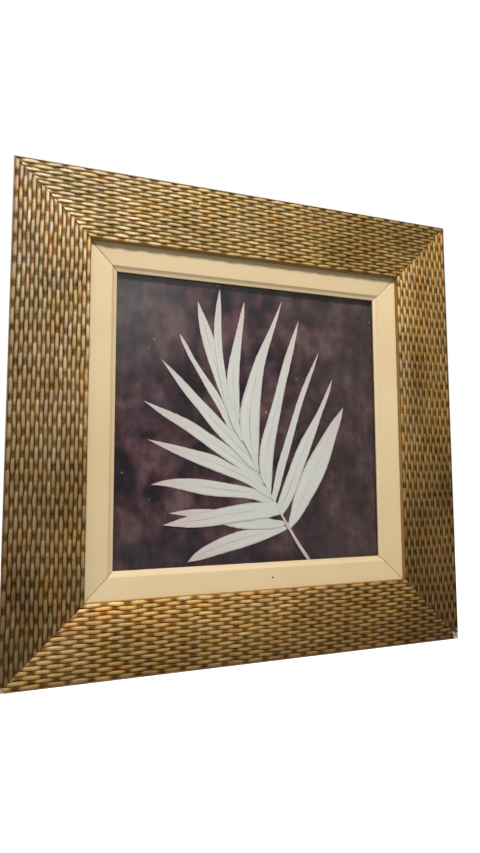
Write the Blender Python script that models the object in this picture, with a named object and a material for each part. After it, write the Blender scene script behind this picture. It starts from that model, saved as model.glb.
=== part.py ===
"""A pressed palm leaf on a dark board, under glass, in a painted liner and a woven-relief moulding.

The frame is square and hangs on a wall.  X runs along the wall, Z is up and +Y points into the wall.
Shapes are worked out about the centre of the frame, with Y = 0 at the moulding's outer front edge,
and one empty then moves them so that the origin is the nail point of the hanger on the back.
"""
import math

import bmesh
import bpy
from mathutils import Matrix, Vector

MM = 0.001

# Driving sizes of the frame, in metres
FRAME_SIDE = 0.508
SIGHT_SIDE = 0.3048
MOULDING_WIDTH = 0.0743
MOULDING_BACK = 0.0245
LIP_RISE = 0.0044
RABBET_WIDTH = 0.0063
LINER_FRONT = 0.0025
LINER_BACK = 0.0240
GAP = 0.0003

# The relief on the moulding: strands that rise over and dip under in turn
STRANDS = 18
BUMPS_PER_STRAND = 23
RELIEF = 0.0006

# Flat layers inside the liner, each given as its front face and its thickness
PACKAGE_INSET = 0.0960
GLASS_FRONT = 0.0109
GLASS_THICK = 0.0020
BOARD_FRONT = 0.01605
BOARD_THICK = 0.0020
BACKING_FRONT = 0.01835
BACKING_THICK = 0.0025

# The leaf
LEAFLET_THICK = 0.00025
LEAFLET_LAYERS = (0.01440, 0.01495, 0.01550)
STEM_FRONT = 0.0132
STEM_FLATNESS = 0.5
EDGE_STEPS = 2

# Glazier's points that hold the backing board
POINT_LENGTH = 0.012
POINT_WIDTH = 0.006
POINT_THICK = 0.0005
POINT_FRONT = 0.02115
POINT_IN_WOOD = 0.005
POINT_OFFSET = 0.080

# The toothed hanger and its nails
HANGER_LENGTH = 0.046
HANGER_HEIGHT = 0.010
HANGER_SHEET = 0.0008
HANGER_STANDOFF = 0.0018
HANGER_FOOT = 0.008
HANGER_RAMP = 0.002
HANGER_NOTCH = 0.0030
HANGER_NOTCH_DEPTH = 0.0016
HANGER_NOTCHES = 7
NOTCH_OVERSHOOT = 0.001
HANGER_BELOW_TOP = 0.037
NAIL_RADIUS = 0.0007
NAIL_LENGTH = 0.010
NAIL_HEAD_RADIUS = 0.0019
NAIL_HEAD_THICK = 0.0008

HALF = FRAME_SIDE / 2
HANGER_Z = HALF - HANGER_BELOW_TOP
HANGER_BACK = MOULDING_BACK + GAP
NAIL_POINT = Vector((0, HANGER_BACK + HANGER_STANDOFF + HANGER_SHEET / 2,
                     HANGER_Z - HANGER_HEIGHT / 2 + HANGER_NOTCH_DEPTH))

# Leaflets from the stalk upwards.  Every point is in millimetres from the frame's lower left corner,
# and each edge runs from the leaflet's foot to its tip.  Layer 0 is nearest the glass.
LEAFLETS = {
    "leaflet_left_1": {
        "layer": 2, "tip": (179.3, 105.8),
        "upper": [(291.2, 138.4), (270, 138.4), (245, 137), (225, 132.5), (206, 125), (189, 116)],
        "lower": [(292.8, 135.3), (282, 131), (258, 122.5), (232, 116), (210, 111), (192, 107)]},
    "leaflet_left_2": {
        "layer": 1, "tip": (158.3, 156.6),
        "upper": [(288.5, 142.9), (270, 148.8), (250, 153), (230, 157), (206, 159.7), (180, 160)],
        "lower": [(290.1, 140.1), (283, 137.7), (264, 137), (246, 137.2), (225, 141), (178, 153)]},
    "leaflet_left_3": {
        "layer": 0, "tip": (152.3, 144.6),
        "upper": [(274.6, 165.6), (260, 166), (245, 165.5), (225, 162.5), (206, 159), (178, 153)],
        "lower": [(283.4, 150.7), (265, 148.5), (245, 146.5), (225, 144.3), (206, 142), (180, 141.3)]},
    "leaflet_left_4": {
        "layer": 2, "tip": (139.8, 186.5),
        "upper": [(271.6, 173.6), (258, 179.6), (246, 183), (226, 186.7), (202, 191), (178, 192.8),
                  (156, 191.2)],
        "lower": [(273.6, 167.3), (260, 168.5), (238, 171.5), (214, 173), (195, 175.5), (178, 179.5),
                  (158, 184.3)]},
    "leaflet_left_5": {
        "layer": 1, "tip": (135.8, 233.3),
        "upper": [(264.6, 186.6), (251.5, 195), (244, 199.5), (226, 208.5), (210, 217), (190, 222),
                  (160, 229)],
        "lower": [(271.0, 174.8), (258, 180), (242, 188), (218, 197), (195, 206), (172, 215.5), (150, 226)]},
    "leaflet_left_6": {
        "layer": 2, "tip": (131.3, 273.8),
        "upper": [(255.6, 201.7), (245, 210.5), (237, 217.7), (224, 228), (203, 241), (182, 254),
                  (154, 265.5)],
        "lower": [(261.0, 192.0), (246, 198.5), (234, 205), (218, 215), (196, 230), (176, 244), (153, 258)]},
    "leaflet_left_7": {
        "layer": 1, "tip": (149.3, 319),
        "upper": [(238.6, 231.6), (228.5, 243.5), (221, 251), (205, 267), (189, 282), (179.5, 292),
                  (160, 310)],
        "lower": [(252.4, 207.4), (238.5, 217), (225, 227.5), (206, 246), (190, 266), (175, 283),
                  (160, 304)]},
    "leaflet_left_8": {
        "layer": 2, "tip": (169.3, 347.5),
        "upper": [(231.6, 245.6), (227.5, 256), (219.5, 273), (214, 283), (203, 298), (187, 320), (175, 341)],
        "lower": [(230.2, 243.2), (221, 254), (211, 271), (201, 287), (191, 304), (181, 321), (172, 339)]},
    "leaflet_end_left": {
        "layer": 1, "tip": (189.5, 385.5),
        "upper": [(233.0, 250), (226, 270), (220, 296), (211, 335), (204, 355), (196, 372)],
        "lower": [(231.4, 249), (224, 264), (217, 279), (205, 310), (195, 340), (189.7, 369)]},
    "leaflet_end_right": {
        "layer": 0, "tip": (214.2, 401.5),
        "upper": [(234.4, 246.8), (229, 268), (222, 300), (217.5, 330), (216, 355), (215.9, 382)],
        "lower": [(232.6, 246.2), (223, 268), (214, 303), (208.5, 335), (207.5, 352), (210, 381)]},
    "leaflet_right_6": {
        "layer": 2, "tip": (243.3, 390.5),
        "upper": [(237.0, 246), (237.6, 262), (237.2, 281), (237, 300), (238, 323), (241, 354), (243.6, 380)],
        "lower": [(235.6, 246.6), (228, 268), (222.6, 295), (224, 314), (230, 340), (235.5, 361),
                  (240.5, 382)]},
    "leaflet_right_5": {
        "layer": 1, "tip": (289.3, 396),
        "upper": [(260.9, 197.5), (258.8, 213), (260, 230), (260.8, 260), (264, 298), (268, 323), (276, 350),
                  (284, 376)],
        "lower": [(258.0, 202.4), (248.9, 219.6), (239.6, 236.5), (237.3, 252), (238, 269), (246, 297),
                  (257, 328),
                  (272, 358)]},
    "leaflet_right_4": {
        "layer": 2, "tip": (310.3, 374.5),
        "upper": [(275.4, 174.3), (275.3, 190), (276.5, 211), (279.8, 235), (285.5, 262), (292, 294),
                  (299, 321),
                  (307, 355)],
        "lower": [(265.6, 190.8), (261.1, 201), (260.2, 216), (263.5, 236), (270, 256), (281, 291),
                  (290, 323),
                  (301, 353)]},
    "leaflet_right_3": {
        "layer": 1, "tip": (335.5, 339),
        "upper": [(280.8, 166.4), (287, 191), (296.5, 222), (304.5, 249), (315, 282), (324.5, 307),
                  (331.5, 326)],
        "lower": [(276.8, 173), (278, 190), (283, 210), (291, 233), (300.5, 261), (312, 292), (326, 321)]},
    "leaflet_right_2": {
        "layer": 2, "tip": (352.7, 307.5),
        "upper": [(289.0, 151.8), (299, 167), (309, 191), (318, 213), (328, 238), (338, 265), (349, 292)],
        "lower": [(282.4, 162.6), (286, 176), (295, 199), (306, 225), (318, 246), (333, 269), (347, 297)]},
    "leaflet_right_1": {
        "layer": 1, "tip": (366.2, 274.5),
        "upper": [(299.2, 137.6), (307, 145.5), (322, 167), (337, 190.5), (346, 210), (356.5, 241),
                  (363.5, 261)],
        "lower": [(297.0, 139.6), (296.6, 150), (300, 166), (308, 189), (318, 209.5), (335, 235),
                  (350, 256.5)]},
}

# The leaf stalk from its cut end upwards: place across and up in millimetres, and half its width
STEM = [(320.5, 98.3, 2.5), (311.5, 110.5, 2.3), (304, 121.5, 2.0), (297.5, 132.5, 1.8), (290.5, 143.5, 1.7),
        (284, 154, 1.6), (278, 165, 1.5), (272.5, 175.5, 1.3), (266.5, 185, 1.1), (260, 196.5, 0.9),
        (253.8, 207, 0.8), (247.7, 218.5, 0.7), (240, 232, 0.6), (233.8, 243, 0.5)]


def clear_scene():
    """Starts from an empty file."""
    for item in list(bpy.data.objects):
        bpy.data.objects.remove(item, do_unlink=True)


def new_collection(name):
    group = bpy.data.collections.new(name)
    bpy.context.scene.collection.children.link(group)
    return group


def new_material(name, colour, roughness, metallic=0.0, transmission=0.0):
    """A plain Principled finish for one sub-part."""
    finish = bpy.data.materials.new(name)
    finish.use_nodes = True
    shader = finish.node_tree.nodes["Principled BSDF"]
    shader.inputs["Base Color"].default_value = (*colour, 1.0)
    shader.inputs["Roughness"].default_value = roughness
    shader.inputs["Metallic"].default_value = metallic
    shader.inputs["Transmission Weight"].default_value = transmission
    return finish


def mesh_from(shape, name):
    """Mesh data of a finished shape, with its faces pointing out."""
    bmesh.ops.recalc_face_normals(shape, faces=shape.faces)
    data = bpy.data.meshes.new(name)
    shape.to_mesh(data)
    shape.free()
    return data


def add_part(name, data, finish):
    """Puts a sub-part in the object's collection, under the origin empty."""
    part = bpy.data.objects.new(name, data)
    part.data.materials.clear()
    part.data.materials.append(finish)
    parts.objects.link(part)
    part.parent = origin
    return part


def add_cutter(name, data, place=None):
    """A shape that only cuts others."""
    cutter = bpy.data.objects.new(name, data)
    cutter.matrix_local = place or Matrix.Identity(4)
    cutter.hide_render = True
    cutter.display_type = "WIRE"
    cutters.objects.link(cutter)
    cutter.parent = origin
    return cutter


def cut(part, cutter):
    """Takes the cutter's volume out of a part."""
    tool = part.modifiers.new("cut " + cutter.name, "BOOLEAN")
    tool.operation = "DIFFERENCE"
    tool.object = cutter


def box(low, high):
    """A closed box between two corners."""
    low, high = Vector(low), Vector(high)
    size = high - low
    place = Matrix.Translation((low + high) / 2) @ Matrix.Diagonal((*size, 1))
    shape = bmesh.new()
    bmesh.ops.create_cube(shape, size=1.0, matrix=place)
    return shape


def rod(radius, start, end, sides=8):
    """A round bar along Y between two depths."""
    shape = bmesh.new()
    turn = Matrix.Translation((0, (start + end) / 2, 0)) @ Matrix.Rotation(math.pi / 2, 4, "X")
    bmesh.ops.create_cone(shape, cap_ends=True, segments=sides, radius1=radius, radius2=radius,
                          depth=end - start, matrix=turn)
    return shape


def side_turn(quarter):
    """Turns a piece of the top side to another side of the square: 0 top, 1 right, 2 bottom, 3 left."""
    return Matrix.Rotation(quarter * math.pi / 2, 4, "Y")


SIDES = {"top": 0, "right": 1, "bottom": 2, "left": 3}


def mitre(shape):
    """Cuts both ends of a top rail at 45 degrees, half a gap short of the corner's diagonal."""
    for end in (-1, 1):
        outward = Vector((end, 0, -1)).normalized()
        faces_and_edges = shape.verts[:] + shape.edges[:] + shape.faces[:]
        result = bmesh.ops.bisect_plane(shape, geom=faces_and_edges, plane_co=outward * -GAP / 2,
                                        plane_no=outward, clear_outer=True)
        rim = [item for item in result["geom_cut"] if isinstance(item, bmesh.types.BMEdge)]
        bmesh.ops.contextual_create(shape, geom=rim)


def strand_rows():
    """Distances from the moulding's outer edge: both edges, and the middle of each strand."""
    pitch = MOULDING_WIDTH / STRANDS
    return [0.0] + [(strand + 0.5) * pitch for strand in range(STRANDS)] + [MOULDING_WIDTH]


def starts_low(face):
    """True where a quad's first and third corners lie deeper than the other two."""
    first, second, third, fourth = (vert.co.y for vert in face.verts)
    return first + third > second + fourth


def moulding_mesh():
    """One mitred rail, as it lies along the top: a sloping woven face, a plain back and a rabbet."""
    rows = strand_rows()
    columns = 2 * BUMPS_PER_STRAND
    half_bump = FRAME_SIDE / columns
    shape = bmesh.new()
    bmesh.ops.create_grid(shape, x_segments=columns, y_segments=len(rows) - 1, size=0.5)
    for vert in shape.verts:
        column = round((vert.co.x + 0.5) * columns)
        row = round((vert.co.y + 0.5) * (len(rows) - 1))
        across = rows[row]
        height = 0.0
        if 0 < row < len(rows) - 1:
            height = RELIEF if (row + column) % 2 else -RELIEF
        face = -LIP_RISE * across / MOULDING_WIDTH
        vert.co = (-HALF + column * half_bump, face - height, HALF - across)
    # Each quad is split between its two low corners, so that every raised point becomes a lozenge
    low_first = [face for face in shape.faces if starts_low(face)]
    high_first = [face for face in shape.faces if not starts_low(face)]
    bmesh.ops.triangulate(shape, faces=low_first, quad_method="FIXED")
    bmesh.ops.triangulate(shape, faces=high_first, quad_method="ALTERNATE")
    rim = [edge for edge in shape.edges if edge.is_boundary]
    walls = bmesh.ops.extrude_edge_only(shape, edges=rim)["geom"]
    for vert in (item for item in walls if isinstance(item, bmesh.types.BMVert)):
        vert.co.y = MOULDING_BACK
    back = [edge for edge in shape.edges if edge.is_boundary]
    bmesh.ops.contextual_create(shape, geom=back)
    bmesh.ops.dissolve_limit(shape, angle_limit=0.001, verts=shape.verts, edges=shape.edges)
    mitre(shape)
    return mesh_from(shape, "moulding")


def rabbet_mesh():
    """The cut along the moulding's inner back edge, where the liner sits."""
    inner = HALF - MOULDING_WIDTH
    low = (-FRAME_SIDE, LINER_FRONT - GAP, inner - RABBET_WIDTH)
    high = (FRAME_SIDE, MOULDING_BACK + RABBET_WIDTH, inner + RABBET_WIDTH)
    return mesh_from(box(low, high), "rabbet")


def add_moulding(finish):
    """Four equal rails around the square."""
    blank = bpy.data.objects.new("blank", moulding_mesh())
    cutters.objects.link(blank)
    rabbet = add_cutter("rabbet", rabbet_mesh())
    rabbet.parent = None
    cut(blank, rabbet)
    view = bpy.context.evaluated_depsgraph_get()
    data = bpy.data.meshes.new_from_object(blank.evaluated_get(view))
    for helper in (blank, rabbet):
        bpy.data.objects.remove(helper, do_unlink=True)
    rails = {}
    for side, quarter in SIDES.items():
        rail = add_part("moulding_" + side, data, finish)
        rail.matrix_local = side_turn(quarter)
        rails[side] = rail
    return rails


def liner_outline():
    """Section of the liner: distance from the frame's outer edge, and depth."""
    outer = MOULDING_WIDTH - RABBET_WIDTH + GAP
    sight = (FRAME_SIDE - SIGHT_SIDE) / 2
    seat = GLASS_FRONT - GAP
    wall = PACKAGE_INSET - GAP
    return [(outer, LINER_FRONT), (0.0750, LINER_FRONT), (0.0963, 0.0056), (0.0989, 0.0078), (sight, 0.0090),
            (sight, seat), (wall, seat), (wall, LINER_BACK), (outer, LINER_BACK)]


def liner_mesh():
    """One mitred liner rail along the top, from its section."""
    outline = bpy.data.curves.new("liner section", "CURVE")
    outline.dimensions = "2D"
    outline.fill_mode = "BOTH"
    outline.extrude = HALF
    spline = outline.splines.new("POLY")
    section = liner_outline()
    spline.points.add(len(section) - 1)
    for point, (across, depth) in zip(spline.points, section):
        point.co = (depth, HALF - across, 0, 1)
    spline.use_cyclic_u = True
    blank = bpy.data.objects.new("liner section", outline)
    bpy.context.scene.collection.objects.link(blank)
    view = bpy.context.evaluated_depsgraph_get()
    data = bpy.data.meshes.new_from_object(blank.evaluated_get(view))
    bpy.data.objects.remove(blank, do_unlink=True)
    shape = bmesh.new()
    shape.from_mesh(data)
    bpy.data.meshes.remove(data)
    bmesh.ops.remove_doubles(shape, verts=shape.verts, dist=0.00001)
    # The section was drawn in X and Y and pulled along Z: depth goes to Y, height to Z, length to X
    for vert in shape.verts:
        vert.co = (vert.co.z, vert.co.x, vert.co.y)
    bmesh.ops.dissolve_limit(shape, angle_limit=0.001, verts=shape.verts, edges=shape.edges)
    mitre(shape)
    return mesh_from(shape, "liner")


def add_liner(finish):
    data = liner_mesh()
    rails = {}
    for side, quarter in SIDES.items():
        rail = add_part("liner_" + side, data, finish)
        rail.matrix_local = side_turn(quarter)
        rails[side] = rail
    return rails


def add_sheet(name, front, thick, finish):
    """A square sheet that drops into the liner from behind."""
    reach = HALF - PACKAGE_INSET
    sheet = box((-reach, front, -reach), (reach, front + thick, reach))
    return add_part(name, mesh_from(sheet, name), finish)


def from_corner(across, up):
    """A point in millimetres from the lower left corner, in metres from the frame's centre."""
    return across * MM - HALF, up * MM - HALF


def add_leaflet(name, blade, finish):
    """A thin blade inside one smooth outline, sharp at the tip and square at the foot."""
    outline = bpy.data.curves.new(name, "CURVE")
    outline.dimensions = "2D"
    outline.fill_mode = "BOTH"
    outline.extrude = LEAFLET_THICK / 2
    outline.resolution_u = EDGE_STEPS
    spline = outline.splines.new("BEZIER")
    points = blade["lower"] + [blade["tip"]] + blade["upper"][::-1]
    corners = {0, len(blade["lower"]), len(points) - 1}
    spline.bezier_points.add(len(points) - 1)
    for index, (point, place) in enumerate(zip(spline.bezier_points, points)):
        point.co = (*from_corner(*place), 0)
        handle = "VECTOR" if index in corners else "AUTO"
        point.handle_left_type = handle
        point.handle_right_type = handle
    spline.use_cyclic_u = True
    leaflet = add_part(name, outline, finish)
    middle = LEAFLET_LAYERS[blade["layer"]] + LEAFLET_THICK / 2
    leaflet.location = (0, middle, 0)
    leaflet.rotation_euler = (math.pi / 2, 0, 0)
    return leaflet


def add_stem(finish):
    """The leaf stalk: a tapering tube, pressed to half its width in depth and level at the front."""
    route = bpy.data.curves.new("stem", "CURVE")
    route.dimensions = "3D"
    route.bevel_depth = MM
    route.bevel_resolution = 2
    route.use_fill_caps = True
    spline = route.splines.new("POLY")
    spline.points.add(len(STEM) - 1)
    for point, (across, up, half_width) in zip(spline.points, STEM):
        x, z = from_corner(across, up)
        point.co = (x, half_width * MM, z, 1)
        point.radius = half_width
    stem = add_part("stem", route, finish)
    stem.location = (0, STEM_FRONT, 0)
    stem.scale = (1, STEM_FLATNESS, 1)
    return stem


def point_place(offset):
    """Two corners of a glazier's point on the top side, for its distance from the middle."""
    outer_end = HALF - PACKAGE_INSET + POINT_IN_WOOD
    low = (offset - POINT_WIDTH / 2, POINT_FRONT, outer_end - POINT_LENGTH)
    high = (offset + POINT_WIDTH / 2, POINT_FRONT + POINT_THICK, outer_end)
    return Vector(low), Vector(high)


def add_glazier_points(liner, finish):
    """Two thin steel tabs a side, pushed into slots in the liner and lying on the backing board."""
    room = Vector((GAP, GAP, GAP))
    for side, quarter in SIDES.items():
        for number, offset in enumerate((-POINT_OFFSET, POINT_OFFSET), start=1):
            low, high = point_place(offset)
            tab = add_part(f"glazier_point_{side}_{number}", mesh_from(box(low, high), "tab"), finish)
            tab.matrix_local = side_turn(quarter)
            slot = mesh_from(box(low - room, high + room), "slot")
            cut(liner[side], add_cutter(f"slot_{side}_{number}", slot, side_turn(quarter)))


def hanger_mesh():
    """A steel strip whose middle stands off the wood."""
    reach = HANGER_LENGTH / 2
    foot = reach - HANGER_FOOT
    near, far = HANGER_BACK, HANGER_BACK + HANGER_STANDOFF
    rise = foot - HANGER_RAMP
    half = [(reach, near), (foot, near), (rise, far)]
    inner = half + [(-x, y) for x, y in reversed(half)]
    outline = inner + [(x, y + HANGER_SHEET) for x, y in reversed(inner)]
    shape = bmesh.new()
    low = HANGER_Z - HANGER_HEIGHT / 2
    face = shape.faces.new([shape.verts.new((x, y, low)) for x, y in outline])
    pulled = bmesh.ops.extrude_face_region(shape, geom=[face])["geom"]
    for vert in (item for item in pulled if isinstance(item, bmesh.types.BMVert)):
        vert.co.z += HANGER_HEIGHT
    return mesh_from(shape, "hanger")


def notch_mesh():
    """A three-sided bar along Y, edge up, that cuts one notch into the strip's lower edge."""
    tall = (HANGER_NOTCH_DEPTH + NOTCH_OVERSHOOT) / 1.5
    size = Matrix.Diagonal((HANGER_NOTCH / math.sqrt(3), 1, tall, 1))
    lift = Matrix.Translation((0, 0, HANGER_NOTCH_DEPTH - tall))
    turn = Matrix.Rotation(math.pi / 2, 4, "X")
    shape = bmesh.new()
    bmesh.ops.create_cone(shape, cap_ends=True, segments=3, radius1=1, radius2=1, depth=HANGER_HEIGHT,
                          matrix=lift @ size @ turn)
    return mesh_from(shape, "notch")


def add_hanger(top_rail, steel):
    """The toothed strip and its two nails, with holes for them in strip and rail."""
    strip = add_part("hanger", hanger_mesh(), steel)
    raised = HANGER_BACK + HANGER_STANDOFF + HANGER_SHEET / 2
    low = HANGER_Z - HANGER_HEIGHT / 2
    for number in range(HANGER_NOTCHES):
        across = (number - (HANGER_NOTCHES - 1) / 2) * HANGER_NOTCH
        place = Matrix.Translation((across, raised, low))
        cut(strip, add_cutter(f"notch_{number + 1}", notch_mesh(), place))
    plate_back = HANGER_BACK + HANGER_SHEET
    for number, side in enumerate((-1, 1), start=1):
        place = Matrix.Translation((side * (HANGER_LENGTH - HANGER_FOOT) / 2, 0, HANGER_Z))
        head_front = plate_back + GAP
        shank = rod(NAIL_RADIUS, plate_back - NAIL_LENGTH, head_front + NAIL_HEAD_THICK / 2)
        nail = add_part(f"nail_{number}", mesh_from(shank, "nail"), steel)
        nail.matrix_local = place
        head = add_cutter(f"nail_head_{number}", mesh_from(
            rod(NAIL_HEAD_RADIUS, head_front, head_front + NAIL_HEAD_THICK, sides=12), "head"), place)
        join = nail.modifiers.new("head", "BOOLEAN")
        join.operation = "UNION"
        join.object = head
        hole = mesh_from(rod(NAIL_RADIUS + GAP, plate_back - NAIL_LENGTH - GAP, plate_back + GAP), "hole")
        drill = add_cutter(f"nail_hole_{number}", hole, place)
        cut(strip, drill)
        cut(top_rail, drill)


clear_scene()
parts = new_collection("framed pressed leaf")
cutters = new_collection("cutters")
origin = bpy.data.objects.new("nail_point", None)
origin.location = -NAIL_POINT
parts.objects.link(origin)

GILT = new_material("woven gilt", (0.40, 0.27, 0.13), 0.42, 0.55)
CREAM = new_material("cream paint", (0.74, 0.60, 0.38), 0.55)
CLEAR = new_material("clear glass", (0.95, 0.97, 0.96), 0.03, 0.0, 1.0)
GROUND = new_material("dark mottled paper", (0.065, 0.042, 0.050), 0.8)
BLADE = new_material("pressed leaf", (0.64, 0.66, 0.61), 0.75)
STALK = new_material("dried stalk", (0.56, 0.49, 0.47), 0.7)
BOARD = new_material("brown hardboard", (0.21, 0.12, 0.065), 0.8)
STEEL = new_material("zinc-plated steel", (0.62, 0.62, 0.60), 0.35, 1.0)

moulding_rails = add_moulding(GILT)
liner_rails = add_liner(CREAM)
add_sheet("glass", GLASS_FRONT, GLASS_THICK, CLEAR)
add_sheet("mount_board", BOARD_FRONT, BOARD_THICK, GROUND)
add_sheet("backing_board", BACKING_FRONT, BACKING_THICK, BOARD)
for leaflet_name, leaflet_blade in LEAFLETS.items():
    add_leaflet(leaflet_name, leaflet_blade, BLADE)
add_stem(STALK)
add_glazier_points(liner_rails, STEEL)
add_hanger(moulding_rails["top"], STEEL)
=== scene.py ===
"""The looks of a framed pressed palm leaf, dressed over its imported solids."""

import math

import bmesh
import bpy
import numpy as np
from mathutils import Matrix, Vector


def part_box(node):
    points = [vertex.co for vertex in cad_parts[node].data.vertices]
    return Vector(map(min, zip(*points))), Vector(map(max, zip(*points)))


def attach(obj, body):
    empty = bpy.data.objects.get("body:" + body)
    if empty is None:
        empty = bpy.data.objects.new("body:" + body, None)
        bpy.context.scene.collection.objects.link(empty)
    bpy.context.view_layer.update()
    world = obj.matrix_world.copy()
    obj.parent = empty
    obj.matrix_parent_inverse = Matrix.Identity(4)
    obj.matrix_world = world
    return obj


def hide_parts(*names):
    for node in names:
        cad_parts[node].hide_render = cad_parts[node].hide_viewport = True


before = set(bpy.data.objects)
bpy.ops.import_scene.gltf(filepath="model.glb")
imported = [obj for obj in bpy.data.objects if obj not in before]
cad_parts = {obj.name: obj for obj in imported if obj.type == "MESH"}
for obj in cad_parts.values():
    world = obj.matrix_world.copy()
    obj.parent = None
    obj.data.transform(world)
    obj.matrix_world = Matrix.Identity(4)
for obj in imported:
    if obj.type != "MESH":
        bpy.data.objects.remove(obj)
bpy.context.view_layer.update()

# Sizes read from the solids, in metres
rail_low, rail_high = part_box("moulding_top")
HALF = rail_high.x
RAIL_WIDTH = rail_high.z - rail_low.z
CENTRE_Z = rail_high.z - HALF
BACK_Y = rail_high.y
GLASS_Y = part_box("glass")[0].y

MM = 0.001
# Corners nearer than this are one, and corners this near to a plane lie on it
MERGE = 0.01 * MM
TOUCH = 0.05 * MM

# The moulding's section
RAIL_DEPTH = 24.5 * MM
FACE_Y = BACK_Y - RAIL_DEPTH
LIP_RISE = 4.4 * MM
LIP_STEP = 6.6 * MM
RABBET_WIDTH = 6.3 * MM
MITRE_GAP = 0.3 * MM

# The woven strands
STRANDS = 18
BUMPS_PER_SIDE = 23
PERIOD = 2 * HALF / BUMPS_PER_SIDE
BORDER = 1.3 * MM
PITCH = (RAIL_WIDTH - BORDER) / STRANDS
BUMP_HEIGHT = 1.8 * MM
DIP_HEIGHT = 0.45 * MM
GROOVE_DEPTH = 1.2 * MM
# How much wider a strand is on its bumps, and narrower in its dips
WIDEN = 0.07
STRAND_SHIFT = 0.5 * MM
UNEVEN_HEIGHT = 0.10
# How far the rows wander along the rail, slowly and quickly, and across it, each with the length of its waves
WANDER_SLOW, SLOW_WAVES = 1.1 * MM, 0.16
WANDER_QUICK, QUICK_WAVES = 0.75 * MM, 0.030
WANDER_ACROSS, ACROSS_WAVES = 0.32 * MM, 0.036
# Section of a strand: place across, as a share of the pitch, and height, as a share of the strand's height
SECTION = [(-0.5, 0.0), (-0.41, 0.60), (-0.22, 0.97), (0.22, 0.97), (0.41, 0.60), (0.5, 0.0)]
# Places along one bump, as shares of the period.  Half a period on, they fall on each other again, so that
# neighbouring strands merge.
COLUMNS = [-0.5, -0.40, -0.32, -0.25, -0.18, -0.10, 0.0, 0.10, 0.18, 0.25, 0.32, 0.40, 0.5]

# Small marks of wear: place, radius, strength and colour
PLASTER = (0.62, 0.52, 0.42)
CORNER_CHIPS = [((HALF, FACE_Y, CENTRE_Z - HALF + 1 * MM), 7.0 * MM, 1.0, PLASTER),
                ((HALF - 7 * MM, FACE_Y, CENTRE_Z - HALF + 7 * MM), 2.2 * MM, 0.8, PLASTER),
                ((HALF - 2 * MM, FACE_Y, CENTRE_Z - HALF + 11 * MM), 1.5 * MM, 0.7, PLASTER),
                ((-HALF, FACE_Y, CENTRE_Z - HALF), 6.0 * MM, 0.9, PLASTER)]
LINER_SPOTS = [((0.0168, GLASS_Y - 6.8 * MM, -0.3815), 1.2 * MM, 0.95, (0.05, 0.03, 0.02))]
GROUND_SPECKS = [((-0.112, GLASS_Y + 5 * MM, -0.1276), 1.1 * MM, 0.5, (0.36, 0.29, 0.21)),
                 ((-0.118, GLASS_Y + 5 * MM, -0.1376), 0.9 * MM, 0.5, (0.34, 0.26, 0.18)),
                 ((0.015, GLASS_Y + 5 * MM, -0.2016), 1.8 * MM, 0.5, (0.30, 0.24, 0.13)),
                 ((-0.144, GLASS_Y + 5 * MM, -0.2686), 1.0 * MM, 0.4, (0.36, 0.30, 0.25)),
                 ((0.151, GLASS_Y + 5 * MM, -0.0866), 1.0 * MM, 0.5, (0.42, 0.37, 0.31))]

# A painted reflection of the glass, a pale haze on the ground at the upper left, and the heights between
# which the stalk turns as pale as the leaflets
GLARE_PLACE = (-0.150, -0.011, -0.080)
RACHIS_LOW, RACHIS_HIGH = -0.325, -0.305

# The leaflets
BLADE_STEPS = 90
BLADE_ACROSS = 12
BLADE_THICK = 0.16 * MM
BLADE_EDGE_WANDER = 0.13 * MM
# How far behind its solid's front a blade lies, and its waves, sunk midrib and curled rims
BLADE_SET_BACK = 0.08 * MM
BLADE_WAVE, BLADE_WAVES = 0.05 * MM, 0.045
MIDRIB_DEPTH = 0.07 * MM
RIM_CURL = 0.05 * MM
# How far the blades' feet reach past the stalk's middle line
FOOT_OVERLAP = 0.7 * MM
END_OVERLAP = 4 * FOOT_OVERLAP
# How much of a blade's length is drawn in, and how far down the stalk a long foot runs
FOOT_SHARE = 0.10
LONG_FOOT_SHARE = 0.16
FOOT_RUN = 9.0 * MM
# The leaflets whose feet run down along the stalk, and how much each broadens there, as a share of its width
LONG_FEET = {"leaflet_left_4": 0.04, "leaflet_left_5": 0.08, "leaflet_left_6": 0.20, "leaflet_left_7": 0.22,
             "leaflet_left_8": 0.22, "leaflet_end_left": 0.35, "leaflet_end_right": 0.55}
# Where a long foot is broadest, as a share of the blade's length
BROAD_PLACE = 0.07
# The stalk's rise and run, in millimetres, and how thick and how flat it is along its length
STALK_SLOPE = (144.7, -86.7)
STALK_PLACES, STALK_SHARES = [0, 0.33, 0.42, 0.97, 1.0], [1.0, 0.95, 0.60, 0.55, 0.12]
FLAT_SHARES, FLATNESS = [0.60, 0.9], [0.45, 1.0]

# The camera, from the photograph's vanishing lines
CAMERA_PLACE = Vector((-218.36, -590.66, -271.88)) * MM
CAMERA_YAW = math.radians(19.253)
CAMERA_PITCH = math.radians(4.990)
CAMERA_ROLL = math.radians(-0.232)
CAMERA_LENS = 23.60
SENSOR_WIDTH = 36.0

# Lamps: place, width, height, power and colour.  Each shines at the middle of the frame.
LAMPS = {"key": ((-0.10, -1.10, 0.80), 0.7, 0.30, 24, (1.0, 0.97, 0.92)),
         "fill": ((-1.7, -1.1, -0.1), 1.2, 1.2, 3, (0.90, 0.95, 1.0))}

FLOOR_SIZE = 14
FLOOR_PLACE = (0, 1.0, -1.6)

# The sides of the frame, as quarter turns from the top
SIDES = {"top": 0, "right": 1, "bottom": 2, "left": 3}
# How bright each rail's gilding is at its upper or left end and at its lower or right one: painted light,
# brighter towards the upper left and on the lower rail, whose strands lie across the light from above
RAIL_PAINTED_LIGHT = {"top": (1.30, 0.60), "right": (0.98, 0.36), "bottom": (1.38, 0.66), "left": (1.14, 0.46)}
# How green and how blue each rail's gilding is beside its red
RAIL_TINT = {"top": (1.01, 1.0), "right": (0.98, 1.03), "bottom": (0.975, 1.00), "left": (0.955, 0.98)}
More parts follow.
